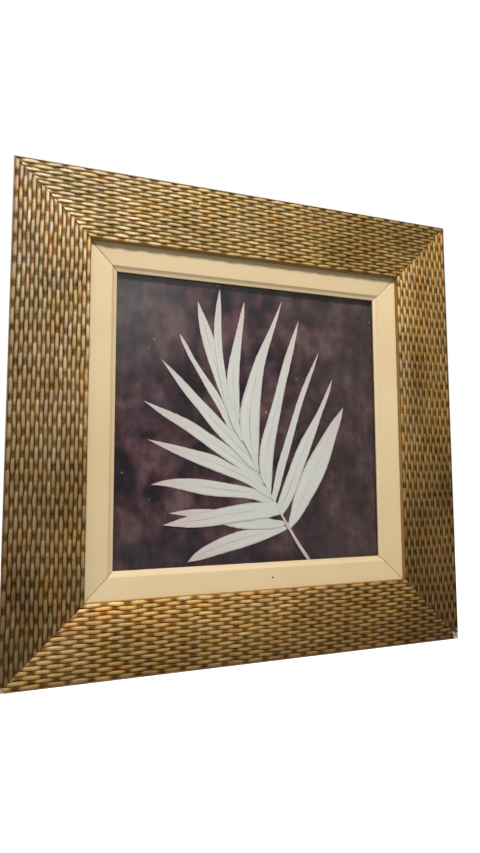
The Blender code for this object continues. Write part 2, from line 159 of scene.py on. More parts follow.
# How much the strands beside the lip are made pale, and how far from it: wear, and on the right rail a
# painted highlight
RAIL_RUB_AND_SHEEN = {"top": 0.0, "right": 1.0, "bottom": 0.35, "left": 0.15}
RUB_REACH = 26 * MM
# How much darker the gilding is at the outer edge than at the lip
RAIL_FADE = {"top": 0.0, "right": 0.10, "bottom": 0.70, "left": 0.12}
# How strong and how large the clouds in the gilding are
CLOUDS, CLOUD_WAVES = 0.08, 0.12

LEAFLETS = sorted(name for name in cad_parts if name.startswith("leaflet_"))
BLADE_FRONT = {node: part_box(node)[0].y for node in LEAFLETS}
random = np.random.default_rng(41)


def add_node(tree, kind, settings=None, **inputs):
    """A shader node with its settings, and its inputs set or linked.  An input's name has _ for a space."""
    made = tree.nodes.new("ShaderNode" + kind)
    for name, value in (settings or {}).items():
        setattr(made, name, value)
    for name, value in inputs.items():
        numbered = name[0] == "i" and name[1:].isdigit()
        plug = made.inputs[int(name[1:])] if numbered else made.inputs[name.replace("_", " ")]
        if isinstance(value, bpy.types.NodeSocket):
            tree.links.new(value, plug)
        else:
            plug.default_value = value
    return made


def ramp(tree, fac, stops, smooth=False):
    """A colour ramp over fac, from a list of (place, colour or grey)."""
    made = add_node(tree, "ValToRGB", i0=fac)
    band = made.color_ramp
    band.interpolation = "EASE" if smooth else "LINEAR"
    while len(band.elements) < len(stops):
        band.elements.new(0.5)
    for element, (place, colour) in zip(band.elements, stops):
        element.position = place
        element.color = (colour, colour, colour, 1) if isinstance(colour, (int, float)) else (*colour, 1)
    return made.outputs["Color"]


def mix(tree, share, first, second, blend="MIX"):
    """One colour laid over another."""
    made = add_node(tree, "Mix", {"data_type": "RGBA", "blend_type": blend})
    for plug, value in ((made.inputs[0], share), (made.inputs[6], first), (made.inputs[7], second)):
        if isinstance(value, bpy.types.NodeSocket):
            tree.links.new(value, plug)
        elif isinstance(value, (int, float)):
            plug.default_value = value
        else:
            plug.default_value = (*value, 1)
    return made.outputs[2]


def maths(tree, operation, first, second=0.0, clamp=False):
    """A sum, a product or another operation on two values."""
    made = add_node(tree, "Math", {"operation": operation, "use_clamp": clamp}, i0=first, i1=second)
    return made.outputs[0]


def plus(tree, first, second, clamp=False):
    return maths(tree, "ADD", first, second, clamp)


def minus(tree, first, second, clamp=False):
    return maths(tree, "SUBTRACT", first, second, clamp)


def times(tree, first, second):
    return maths(tree, "MULTIPLY", first, second)


def swing(tree, value, middle, amount):
    """How far a value is from its middle, times an amount."""
    return times(tree, minus(tree, value, middle), amount)


def fade(tree, value, start, end, strength=1.0):
    """A mask that rises smoothly from 0, where the value is start, to its full strength, where it is end."""
    made = add_node(tree, "MapRange", {"interpolation_type": "SMOOTHSTEP"}, i0=value, i1=start, i2=end,
                    i3=0.0, i4=strength)
    return made.outputs[0]


def lay(tree, colour, mask, share, over, blend="MIX"):
    """A second colour laid over the first through a mask, as strong as a share."""
    return mix(tree, times(tree, mask, share), colour, over, blend)


def attribute(tree, name, output="Fac"):
    """A value or colour that the mesh carries."""
    return add_node(tree, "Attribute", {"attribute_name": name}).outputs[output]


def noise(tree, place, scale, detail=4.0, roughness=0.55, distortion=0.0):
    """Cloudy noise, about 0.5."""
    made = add_node(tree, "TexNoise", Vector=place, Scale=scale, Detail=detail, Roughness=roughness,
                    Distortion=distortion)
    return made.outputs["Fac"]


def stretched(tree, place, scale=(1, 1, 1), turn=(0, 0, 0), shift=(0, 0, 0)):
    """Coordinates shifted, turned and scaled for a pattern."""
    return add_node(tree, "Mapping", Vector=place, Location=shift, Rotation=turn, Scale=scale).outputs[0]


def new_material(name, roughness=0.6, metallic=0.0):
    """A material with its Principled shader, its tree and its object coordinates."""
    made = bpy.data.materials.new(name)
    made.use_nodes = True
    tree = made.node_tree
    shader = tree.nodes["Principled BSDF"]
    shader.inputs["Roughness"].default_value = roughness
    shader.inputs["Metallic"].default_value = metallic
    place = add_node(tree, "TexCoord").outputs["Object"]
    return made, tree, shader, place


def paint(tree, shader, colour):
    """Gives the shader its colour."""
    tree.links.new(colour, shader.inputs["Base Color"])


def bump(tree, shader, height, distance, strength=1.0):
    """Gives the shader a fine relief."""
    made = add_node(tree, "Bump", Height=height, Distance=distance, Strength=strength)
    tree.links.new(made.outputs[0], shader.inputs["Normal"])


def group(name, inputs, outputs):
    """A node group with named sockets, and the nodes that hold them."""
    tree = bpy.data.node_groups.new(name, "ShaderNodeTree")
    for socket, kind in inputs:
        tree.interface.new_socket(socket, in_out="INPUT", socket_type="NodeSocket" + kind)
    for socket, kind in outputs:
        tree.interface.new_socket(socket, in_out="OUTPUT", socket_type="NodeSocket" + kind)
    return tree, tree.nodes.new("NodeGroupInput").outputs, tree.nodes.new("NodeGroupOutput").inputs


def use_group(tree, made, **inputs):
    """A group placed in a material with its own values.  Gives its outputs."""
    return add_node(tree, "Group", {"node_tree": made}, **inputs).outputs


def make_grain():
    """Long fibres along X, as a share and as flecks: for wood, board and dried stalk."""
    tree, given, out = group("fibre grain", [("Place", "Vector"), ("Scale", "Float"), ("Stretch", "Float")],
                             [("Grain", "Float"), ("Fleck", "Float")])
    longer = maths(tree, "DIVIDE", 1.0, given["Stretch"])
    along = add_node(tree, "CombineXYZ", X=longer, Y=1.0, Z=1.0).outputs[0]
    place = add_node(tree, "VectorMath", {"operation": "MULTIPLY"}, i0=given["Place"], i1=along).outputs[0]
    coarse = noise(tree, place, given["Scale"], 6.0, 0.65, 0.4)
    fine = noise(tree, place, times(tree, given["Scale"], 4.0), 3.0, 0.6)
    both = plus(tree, times(tree, coarse, 0.65), times(tree, fine, 0.35))
    tree.links.new(both, out["Grain"])
    tree.links.new(ramp(tree, fine, [(0.60, 0), (0.70, 1)]), out["Fleck"])
    return tree


def make_specks():
    """Small round specks of dust, as a mask."""
    tree, given, out = group("dust specks", [("Place", "Vector"), ("Scale", "Float"), ("Amount", "Float")],
                             [("Mask", "Float")])
    dots = add_node(tree, "TexVoronoi", Vector=given["Place"], Scale=given["Scale"])
    lot = add_node(tree, "SeparateColor", i0=dots.outputs["Color"]).outputs[0]
    chosen = maths(tree, "LESS_THAN", lot, given["Amount"])
    near = fade(tree, dots.outputs["Distance"], 0.16, 0.05)
    tree.links.new(times(tree, chosen, near), out["Mask"])
    return tree


def from_middle(tree, place):
    """How far a point is from the frame's middle, sideways and up or down."""
    apart = add_node(tree, "SeparateXYZ", i0=place).outputs
    up = minus(tree, apart[2], CENTRE_Z)
    return maths(tree, "ABSOLUTE", apart[0]), maths(tree, "ABSOLUTE", up)


def make_corner_grime():
    """How near a point is to the four mitre lines of the frame, as a mask with a ragged edge."""
    tree, given, out = group("mitre grime", [("Place", "Vector"), ("Width", "Float")], [("Mask", "Float")])
    across, up = from_middle(tree, given["Place"])
    off = maths(tree, "ABSOLUTE", minus(tree, across, up))
    ragged = noise(tree, given["Place"], 220.0, 3.0)
    width = times(tree, given["Width"], times(tree, ragged, 2.0))
    near = minus(tree, 1.0, maths(tree, "DIVIDE", off, width), clamp=True)
    tree.links.new(near, out["Mask"])
    return tree


def make_spot():
    """A ragged round spot at a place, as a mask."""
    tree, given, out = group("ragged spot", [("Place", "Vector"), ("Spot", "Vector"), ("Radius", "Float")],
                             [("Mask", "Float")])
    off = add_node(tree, "VectorMath", {"operation": "DISTANCE"}, i0=given["Place"], i1=given["Spot"])
    ragged = plus(tree, 0.4, times(tree, noise(tree, given["Place"], 420.0, 3.0), 1.2))
    reach = times(tree, given["Radius"], ragged)
    far = maths(tree, "DIVIDE", off.outputs["Value"], reach)
    tree.links.new(fade(tree, far, 1.15, 0.8), out["Mask"])
    return tree


def add_spots(tree, colour, place, spots):
    """Lays spots over a colour.  Each is a place, a radius, a strength and its own colour."""
    for spot, radius, strength, shade in spots:
        mask = use_group(tree, SPOT, Place=place, Spot=spot, Radius=radius)["Mask"]
        colour = lay(tree, colour, mask, strength, shade)
    return colour


GRAIN = make_grain()
SPOT = make_spot()
SPECKS = make_specks()
MITRE_GRIME = make_corner_grime()


# The gilding's colour from the slits up to the tops, and the hue that each bump takes by its own random tone
GOLD_BY_HEIGHT = [(0.0, (0.055, 0.026, 0.006)), (0.22, (0.210, 0.110, 0.019)), (0.50, (0.345, 0.208, 0.053)),
                  (0.78, (0.43, 0.298, 0.110)), (1.0, (0.50, 0.380, 0.200))]
HUE_BY_BUMP = [(0.0, (1.07, 0.86, 0.64)), (0.16, (0.86, 0.78, 0.62)), (0.30, (0.88, 0.90, 0.70)),
               (0.45, (1.00, 0.98, 0.94)), (0.62, (0.98, 0.87, 0.78)), (0.72, (0.82, 0.80, 0.70)),
               (0.86, (0.91, 0.95, 0.95)), (1.0, (1.18, 1.14, 1.04))]


def gilt_finish():
    """Worn gilding over the weave: dark brown slits, gold dips and pale straw on the rubbed tops."""
    made, tree, shader, place = new_material("woven gilt", 0.6, 0.60)
    shader.inputs["Specular IOR Level"].default_value = 0.2
    uv = add_node(tree, "UVMap", {"uv_map": "strand"}).outputs[0]
    relief, tone, dip = (attribute(tree, name) for name in ("relief", "tone", "dip"))
    streak = noise(tree, stretched(tree, uv, (90, 1600, 1)), 1.0, 4.0, 0.6)
    patch = noise(tree, place, 16.0, 3.0, 0.6)
    worn = noise(tree, place, 150.0, 5.0, 0.7)
    crackle = noise(tree, place, 460.0, 2.0, 0.6)
    lines = ramp(tree, streak, [(0.38, 0), (0.62, 1)])
    level = plus(tree, relief, swing(tree, lines, 0.6, 0.30))
    level = plus(tree, level, swing(tree, crackle, 0.5, 0.55))
    level = plus(tree, level, swing(tree, patch, 0.5, 0.45), clamp=True)
    shown = mix(tree, 1.0, ramp(tree, level, GOLD_BY_HEIGHT), ramp(tree, tone, HUE_BY_BUMP), "MULTIPLY")
    amber = ramp(tree, noise(tree, place, 36.0, 3.0, 0.6), [(0.50, 0), (0.66, 1)])
    shown = lay(tree, shown, amber, 0.7, (1.04, 0.95, 0.62), "MULTIPLY")
    dusk = noise(tree, stretched(tree, place, shift=(4.7, 0, 1.3)), 27.0, 4.0, 0.65)
    shown = lay(tree, shown, ramp(tree, dusk, [(0.50, 0), (0.68, 1)]), 0.8, (0.70, 0.66, 0.66), "MULTIPLY")
    rubbed = times(tree, ramp(tree, worn, [(0.57, 0), (0.68, 1)]), relief)
    shown = lay(tree, shown, rubbed, 0.55, (0.26, 0.12, 0.045))
    glow = times(tree, dip, ramp(tree, noise(tree, place, 70.0, 3.0, 0.6), [(0.50, 0), (0.62, 1)]))
    shown = lay(tree, shown, glow, 0.55, (0.52, 0.30, 0.060))
    # The rails' patina attribute carries painted light and shade as well as wear
    shown = mix(tree, 1.0, shown, attribute(tree, "patina_and_light", "Color"), "MULTIPLY")
    paint(tree, shader, add_spots(tree, shown, place, CORNER_CHIPS))
    rough = plus(tree, minus(tree, 0.70, times(tree, relief, 0.14)), times(tree, worn, 0.14))
    tree.links.new(rough, shader.inputs["Roughness"])
    bump(tree, shader, plus(tree, streak, times(tree, worn, 0.6)), 0.25 * MM, 0.6)
    return made


def edge_finish():
    """Dark bronze paint on the moulding's border and sides, more golden on its inner lip."""
    made, tree, shader, place = new_material("dark edge paint", 0.5, 0.25)
    patch = noise(tree, place, 60.0, 5.0, 0.65)
    shade = ramp(tree, patch, [(0.30, (0.080, 0.048, 0.022)), (0.55, (0.165, 0.098, 0.040)),
                               (0.75, (0.27, 0.17, 0.075))])
    across, up = from_middle(tree, place)
    inner = maths(tree, "LESS_THAN", maths(tree, "MAXIMUM", across, up), HALF - RAIL_WIDTH / 2)
    shade = lay(tree, shade, inner, 0.75, (0.340, 0.190, 0.055))
    chips = ramp(tree, noise(tree, place, 210.0, 4.0, 0.7), [(0.66, 0), (0.70, 1)])
    shown = lay(tree, shade, chips, 0.5, (0.36, 0.27, 0.18))
    paint(tree, shader, add_spots(tree, shown, place, CORNER_CHIPS))
    bump(tree, shader, patch, 0.3 * MM, 0.5)
    return made


def raw_wood_finish(name, turn):
    """Bare softwood on the backs of the rails, with its grain along the rail."""
    made, tree, shader, place = new_material(name, 0.72)
    grain = use_group(tree, GRAIN, Place=stretched(tree, place, turn=turn), Scale=260.0, Stretch=14.0)
    colour = ramp(tree, grain["Grain"], [(0.30, (0.30, 0.19, 0.10)), (0.50, (0.52, 0.37, 0.215)),
                                         (0.72, (0.66, 0.50, 0.32))])
    shown = lay(tree, colour, grain["Fleck"], 0.35, (0.20, 0.12, 0.06))
    paint(tree, shader, shown)
    bump(tree, shader, grain["Grain"], 0.2 * MM, 0.5)
    return made


def cream_finish():
    """Satin cream paint on the liner, a little yellowed, with grime by the joints."""
    made, tree, shader, place = new_material("cream paint", 0.48)
    cloudy = noise(tree, place, 9.0, 3.0, 0.5)
    fine = noise(tree, place, 420.0, 3.0, 0.6)
    colour = ramp(tree, cloudy, [(0.30, (0.585, 0.442, 0.248)), (0.50, (0.612, 0.474, 0.275)),
                                 (0.72, (0.636, 0.500, 0.303))])
    grime = use_group(tree, MITRE_GRIME, Place=place, Width=0.6 * MM)["Mask"]
    colour = lay(tree, colour, grime, 0.75, (0.20, 0.13, 0.07))
    scuffs = noise(tree, stretched(tree, place, (1.0, 1.0, 0.25)), 120.0, 5.0, 0.7, 0.6)
    colour = lay(tree, colour, ramp(tree, scuffs, [(0.66, 0), (0.74, 1)]), 0.16, (0.40, 0.29, 0.17))
    dots = use_group(tree, SPECKS, Place=place, Scale=55.0, Amount=0.03)["Mask"]
    colour = lay(tree, colour, dots, 0.5, (0.24, 0.16, 0.09))
    paint(tree, shader, add_spots(tree, colour, place, LINER_SPOTS))
    tree.links.new(plus(tree, 0.40, times(tree, fine, 0.2)), shader.inputs["Roughness"])
    bump(tree, shader, plus(tree, fine, times(tree, cloudy, 0.5)), 0.12 * MM, 0.35)
    return made


def ground_finish():
    """The dark board behind the leaf: a cloudy mottle of purple-brown, slate and rust, matt."""
    made, tree, shader, place = new_material("mottled ground", 0.9)
    shader.inputs["Specular IOR Level"].default_value = 0.1
    apart = add_node(tree, "SeparateXYZ", i0=place).outputs
    clouds = noise(tree, stretched(tree, place, (1, 1, 0.8)), 34.0, 3.0, 0.52, 0.15)
    colour = ramp(tree, clouds, [(0.36, (0.014, 0.010, 0.014)), (0.46, (0.040, 0.021, 0.027)),
                                 (0.55, (0.088, 0.043, 0.052)), (0.68, (0.150, 0.093, 0.092))])
    rust = noise(tree, stretched(tree, place, shift=(9.4, 0, 2.2)), 26.0, 3.0, 0.55, 0.2)
    colour = lay(tree, colour, ramp(tree, rust, [(0.52, 0), (0.70, 1)], True), 0.55, (0.142, 0.064, 0.070))
    slate = noise(tree, stretched(tree, place, shift=(1.4, 0, 5.9)), 21.0, 4.0, 0.6)
    colour = lay(tree, colour, ramp(tree, slate, [(0.54, 0), (0.68, 1)], True), 0.60, (0.028, 0.028, 0.038))
    # Browner to the right, more violet at the foot, and a painted reflection of the glass as a pale haze at
    # the upper left
    colour = mix(tree, fade(tree, apart[0], -0.02, 0.14, 0.50), colour, (0.082, 0.061, 0.056))
    colour = mix(tree, fade(tree, apart[2], -0.27, -0.37, 0.35), colour, (0.084, 0.058, 0.066))
    off = add_node(tree, "VectorMath", {"operation": "DISTANCE"}, i0=place, i1=GLARE_PLACE).outputs["Value"]
    colour = mix(tree, fade(tree, off, 0.12, 0.01, 0.55), colour, (0.115, 0.105, 0.108))
    small = noise(tree, stretched(tree, place, shift=(3.1, 0, 7.7)), 80.0, 3.0, 0.55, 0.1)
    streaks = noise(tree, stretched(tree, place, (1, 1, 0.12)), 190.0, 3.0, 0.6)
    light = plus(tree, plus(tree, 0.05, times(tree, small, 0.95)), times(tree, streaks, 0.55))
    grey = add_node(tree, "CombineColor", i0=light, i1=light, i2=light).outputs[0]
    colour = mix(tree, 1.0, colour, grey, "MULTIPLY")
    dust = use_group(tree, SPECKS, Place=place, Scale=95.0, Amount=0.018)["Mask"]
    colour = lay(tree, colour, dust, 0.55, (0.45, 0.40, 0.36))
    paint(tree, shader, add_spots(tree, colour, place, GROUND_SPECKS))
    bump(tree, shader, noise(tree, place, 330.0, 3.0, 0.6), 0.1 * MM, 0.4)
    return made


def leaf_finish():
    """A bleached pressed leaflet: grey-white, fine veins along it, a brownish midrib, pink rims and tip."""
    made, tree, shader, place = new_material("pressed leaf", 0.8)
    shader.inputs["Specular IOR Level"].default_value = 0.2
    uv = add_node(tree, "UVMap", {"uv_map": "blade"}).outputs[0]
    apart = add_node(tree, "SeparateXYZ", i0=uv).outputs
    across, along = apart[0], apart[1]
    veins = noise(tree, stretched(tree, uv, (46, 1.2, 1)), 1.0, 3.0, 0.6)
    broad = noise(tree, stretched(tree, uv, (5, 3, 1)), 1.0, 3.0, 0.6)
    mottle = noise(tree, place, 70.0, 4.0, 0.6)
    colour = ramp(tree, veins, [(0.32, (0.400, 0.400, 0.375)), (0.45, (0.545, 0.550, 0.515)),
                                (0.68, (0.630, 0.625, 0.590))])
    colour = lay(tree, colour, ramp(tree, broad, [(0.45, 0), (0.75, 1)], True), 0.35, (0.575, 0.545, 0.465))
    colour = lay(tree, colour, mottle, 0.20, (0.490, 0.515, 0.480))
    colour = mix(tree, fade(tree, along, 0.45, 1.0, 0.75), colour, (0.540, 0.420, 0.410))
    off = maths(tree, "ABSOLUTE", minus(tree, across, 0.5))
    rib = fade(tree, off, 0.035, 0.008)
    patchy = ramp(tree, noise(tree, place, 32.0, 2.0, 0.5), [(0.38, 0.1), (0.62, 1.0)])
    colour = mix(tree, times(tree, times(tree, rib, 0.65), patchy), colour, (0.270, 0.200, 0.185))
    colour = mix(tree, fade(tree, off, 0.41, 0.50, 0.65), colour, (0.420, 0.325, 0.305))
    paint(tree, shader, colour)
    bump(tree, shader, minus(tree, times(tree, veins, 0.5), rib), 0.2 * MM, 0.5)
    return made


def stalk_finish():
    """The dried stalk: pinkish grey with darker ridges, and as pale as the leaflets between their feet."""
    made, tree, shader, place = new_material("dried stalk", 0.66)
    along = stretched(tree, place, turn=(0, math.atan2(*STALK_SLOPE), 0))
    grain = use_group(tree, GRAIN, Place=along, Scale=900.0, Stretch=22.0)
    colour = ramp(tree, grain["Grain"], [(0.30, (0.37, 0.285, 0.275)), (0.50, (0.52, 0.425, 0.415)),
                                         (0.72, (0.63, 0.545, 0.535))])
    high = add_node(tree, "SeparateXYZ", i0=place).outputs[2]
    pale = fade(tree, high, RACHIS_LOW, RACHIS_HIGH, 0.85)
    paint(tree, shader, mix(tree, pale, colour, (0.600, 0.590, 0.555)))
    bump(tree, shader, grain["Grain"], 0.3 * MM, 0.6)
    return made


def hardboard_finish():
    """Brown pressed-fibre board."""
    made, tree, shader, place = new_material("brown hardboard", 0.78)
    grain = use_group(tree, GRAIN, Place=place, Scale=420.0, Stretch=1.6)
    clouds = noise(tree, place, 14.0, 3.0, 0.5)
    colour = ramp(tree, grain["Grain"], [(0.32, (0.105, 0.058, 0.030)), (0.52, (0.205, 0.120, 0.064)),
                                         (0.70, (0.300, 0.190, 0.110))])
    colour = lay(tree, colour, clouds, 0.3, (0.14, 0.085, 0.05))
    paint(tree, shader, colour)
    bump(tree, shader, grain["Grain"], 0.2 * MM, 0.6)
    return made


def steel_finish():
    """Dull zinc plating, clouded and a little stained."""
    made, tree, shader, place = new_material("zinc-plated steel", 0.35, 1.0)
    clouds = noise(tree, place, 300.0, 4.0, 0.6)
    scratch = noise(tree, stretched(tree, place, (1, 1, 6)), 700.0, 3.0, 0.6)
    colour = ramp(tree, clouds, [(0.3, (0.42, 0.42, 0.40)), (0.7, (0.66, 0.66, 0.63))])
    paint(tree, shader, colour)
    tree.links.new(plus(tree, 0.24, times(tree, scratch, 0.26)), shader.inputs["Roughness"])
    return made


def glass_finish():
    """Clear picture glass with faint smears."""
    made, tree, shader, place = new_material("clear glass", 0.02)
    shader.inputs["Base Color"].default_value = (0.97, 0.985, 0.975, 1)
    shader.inputs["Transmission Weight"].default_value = 1.0
    shader.inputs["IOR"].default_value = 1.5
    smear = noise(tree, place, 25.0, 3.0, 0.6)
    tree.links.new(times(tree, smear, 0.02), shader.inputs["Roughness"])
    return made


GILT = gilt_finish()
EDGE = edge_finish()
WOOD_ALONG = raw_wood_finish("bare wood along", (0, 0, 0))
WOOD_UP = raw_wood_finish("bare wood up", (0, math.pi / 2, 0))
CREAM = cream_finish()
GROUND = ground_finish()
LEAF = leaf_finish()
STALK = stalk_finish()
HARDBOARD = hardboard_finish()
STEEL = steel_finish()
GLASS = glass_finish()


def start(piece=None):
    """Leaves object mode with only this piece, or nothing, selected."""
    if bpy.context.object and bpy.context.object.mode != "OBJECT":
        bpy.ops.object.mode_set(mode="OBJECT")
    bpy.ops.object.select_all(action="DESELECT")
    if piece:
        bpy.context.view_layer.objects.active = piece
        piece.select_set(True)


def edit(piece):
    """Leaves a piece alone selected, in edit mode."""
    start(piece)
    bpy.ops.object.mode_set(mode="EDIT")


def pick_all():
    """Selects the whole mesh.  In edit mode."""
    bpy.ops.mesh.select_all(action="SELECT")


def pick_points(piece, test):
    """Selects the corners whose place passes a test.  In edit mode."""
    bpy.ops.mesh.select_mode(type="VERT")
    shape = bmesh.from_edit_mesh(piece.data)
    for point in shape.verts:
        point.select = test(point.co)
    shape.select_flush_mode()
    bmesh.update_edit_mesh(piece.data)


def pick_open_edges(piece, test):
    """Selects the open edges whose both ends pass a test.  In edit mode."""
    bpy.ops.mesh.select_mode(type="EDGE")
    bpy.ops.mesh.select_all(action="DESELECT")
    shape = bmesh.from_edit_mesh(piece.data)
    for line in shape.edges:
        line.select = line.is_boundary and all(test(point.co) for point in line.verts)
    bmesh.update_edit_mesh(piece.data)


def apply_modifier(piece, kind, **settings):
    """Adds a modifier, sets it and applies it, and leaves the piece selected."""
    start(piece)
    made = piece.modifiers.new(kind.lower(), kind)
    for name, value in settings.items():
        setattr(made, name, value)
    bpy.ops.object.modifier_apply(modifier=made.name)


def places(mesh):
    """A mesh's corners as rows of numbers."""
    co = np.empty(len(mesh.vertices) * 3, np.float32)
    mesh.vertices.foreach_get("co", co)
    return co.reshape(-1, 3).astype(float)


def put_places(mesh, co):
    """Puts a mesh's corners where the rows of numbers say."""
    mesh.vertices.foreach_set("co", co.astype(np.float32).ravel())
    mesh.update()


def name_uv(mesh, name, first, second):
    """Names a mesh's UV map and fills it from two values a corner."""
    layer = mesh.uv_layers[0]
    layer.name = name
    corner = np.empty(len(mesh.loops), np.int32)
    mesh.loops.foreach_get("vertex_index", corner)
    layer.data.foreach_set("uv", np.stack([first[corner], second[corner]], -1).astype(np.float32).ravel())


def finish_piece(piece, name, slot, *nodes):
    """Names a piece, lets it ride on the frame and hides the solids that it stands for."""
    piece.name = name
    piece.data.name = name
    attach(piece, "root")
    if nodes:
        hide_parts(*nodes)
    return piece


def strand_cell():
    """One raised and one sunk stretch of a strand, lying flat: X along it, Y across it, Z up.

    The rows and columns are moved into place one by one.  Each moves 10 units away first, so that no later
    pick finds it again.
    """
    start()
    steps = len(COLUMNS) - 1
    bpy.ops.mesh.primitive_grid_add(x_subdivisions=steps, y_subdivisions=len(SECTION) - 1, size=1)
    cell = bpy.context.object
    bpy.ops.object.mode_set(mode="EDIT")
    for row, (across, height) in reversed(list(enumerate(SECTION))):
        place = row / (len(SECTION) - 1) - 0.5
        pick_points(cell, lambda co: abs(co.y - place) < 0.01 and co.z == 0)
        bpy.ops.transform.translate(value=(0, 10 + across - place, height))
    for column, along in reversed(list(enumerate(COLUMNS))):
        place = column / steps - 0.5
        # From -1 in the middle of the dip to 1 on top.  The bump rises steeply and has a broad top.
        wave = math.cos(2 * math.pi * along)
        rise = min(1.0, max(0.0, (wave + 0.93) / 0.85))
        rise = rise * rise * (3 - 2 * rise) * 0.92 + max(wave, 0) * 0.08
        wide = 1 + WIDEN * math.tanh(2.4 * wave) / math.tanh(2.4)
        tall = DIP_HEIGHT + (BUMP_HEIGHT - DIP_HEIGHT) * rise
        pick_points(cell, lambda co: abs(co.x - place) < 0.01)
        bpy.ops.transform.translate(value=(10 + along - place, 0, 0))
        bpy.ops.transform.resize(value=(1, PITCH * wide, tall), center_override=(10, 10, 0))
    pick_all()
    bpy.ops.transform.translate(value=(-10, 0, 0))
    bpy.ops.transform.resize(value=(PERIOD, 1, 1), center_override=(0, 0, 0))
    bpy.ops.transform.translate(value=(0, PITCH / 2 - 10, 0))
    return cell


def strand_sheet():
    """All the strands of one rail, lying flat: X along the rail from its middle, Y from its outer edge."""
    cell = strand_cell()
    bpy.ops.mesh.duplicate_move(TRANSFORM_OT_translate={"value": (PERIOD / 2, PITCH, 0)})
    pick_all()
    bpy.ops.mesh.remove_doubles(threshold=MERGE)
    repeats = BUMPS_PER_SIDE + 3
    bpy.ops.transform.translate(value=(-PERIOD * (repeats - 0.5) / 2, 0, 0))
    start(cell)
    for count, step in ((repeats, (PERIOD, 0, 0)), (STRANDS // 2, (0, 2 * PITCH, 0))):
        apply_modifier(cell, "ARRAY", count=count, use_relative_offset=False, use_constant_offset=True,
                       constant_offset_displace=step, use_merge_vertices=True, merge_threshold=MERGE)
    edit(cell)
    pick_all()
    bpy.ops.mesh.remove_doubles(threshold=MERGE)
    start(cell)
    return cell


def smooth_field(x, y, size, count=5):
    """A gently wandering value over a plane, from a few seeded waves, about -1 to 1."""
    total = np.zeros_like(x)
    for wave in range(count):
        angle, phase = random.random(2) * 2 * math.pi
        turn = 2 * math.pi / size * (0.6 + 0.8 * random.random())
        total += np.sin(turn * (x * math.cos(angle) + y * math.sin(angle)) + phase)
    return total / math.sqrt(count)


def open_corners(mesh):
    """Which corners of a mesh lie on an open edge."""
    used = np.empty(len(mesh.loops), np.int32)
    mesh.loops.foreach_get("edge_index", used)
    ends = np.empty(len(mesh.edges) * 2, np.int32)
    mesh.edges.foreach_get("vertices", ends)
    single = np.bincount(used, minlength=len(mesh.edges)) == 1
    found = np.zeros(len(mesh.vertices), bool)
    found[ends.reshape(-1, 2)[single].ravel()] = True
    return found


def lay_sheet(sheet):
    """Gives each bump its own height and tone, lets the rows wander and lays the sheet on the slope."""
    mesh = sheet.data
    co = places(mesh)
    x, across, height = co[:, 0], co[:, 1], co[:, 2]
    strand = np.clip((across / PITCH).astype(int), 0, STRANDS - 1)
    phase = x / PERIOD + 0.5 * (strand % 2)
    cell = np.floor(phase).astype(int)
    cell -= cell.min()
    tones = random.random((STRANDS, cell.max() + 1))
    heights = random.normal(1.0, UNEVEN_HEIGHT, (STRANDS, cell.max() + 1))
    rise = height / BUMP_HEIGHT
    on_edge = open_corners(mesh)
    first_row = on_edge & (across < PITCH * 0.4)
    last_row = on_edge & (across > PITCH * (STRANDS - 0.4))
    across = np.clip(across, 0.04 * PITCH, (STRANDS - 0.04) * PITCH)
    middle = 0.5 - 0.5 * np.cos(2 * math.pi * phase)
    lively = 1 + (heights[strand, cell] - 1) * np.clip(middle * 1.4 - 0.2, 0, 1)
    height = np.where(first_row, 0.6 * BUMP_HEIGHT, height * lively)
    uv_along, uv_across = x.copy(), across.copy()
    x = (x + WANDER_SLOW * smooth_field(x, across, SLOW_WAVES)
         + WANDER_QUICK * smooth_field(x, across, QUICK_WAVES))
    x = x + random.normal(0, STRAND_SHIFT, STRANDS)[strand]
    across = across + WANDER_ACROSS * smooth_field(x, across, ACROSS_WAVES)
    across = np.where(first_row, 0.0, np.where(last_row, PITCH * STRANDS, across)) + BORDER
    out = np.empty_like(co)
    out[:, 0] = x
    out[:, 1] = FACE_Y - LIP_RISE * across / RAIL_WIDTH + GROOVE_DEPTH - height
    out[:, 2] = CENTRE_Z + HALF - across
    put_places(mesh, out)
    dip = np.clip(1 - middle / 0.12, 0, 1) * (height > 0.6 * DIP_HEIGHT) * ~on_edge
    for name, value in (("relief", np.clip(rise, 0, 1)), ("tone", tones[strand, cell]), ("dip", dip)):
        layer = mesh.attributes.new(name, "FLOAT", "POINT")
        layer.data.foreach_set("value", value.astype(np.float32))
    name_uv(mesh, "strand", uv_along, uv_across)


def pull(dy, dz):
    """Pulls the selected open edge by a step."""
    bpy.ops.mesh.extrude_edges_move(TRANSFORM_OT_translate={"value": (0, dy, dz)})


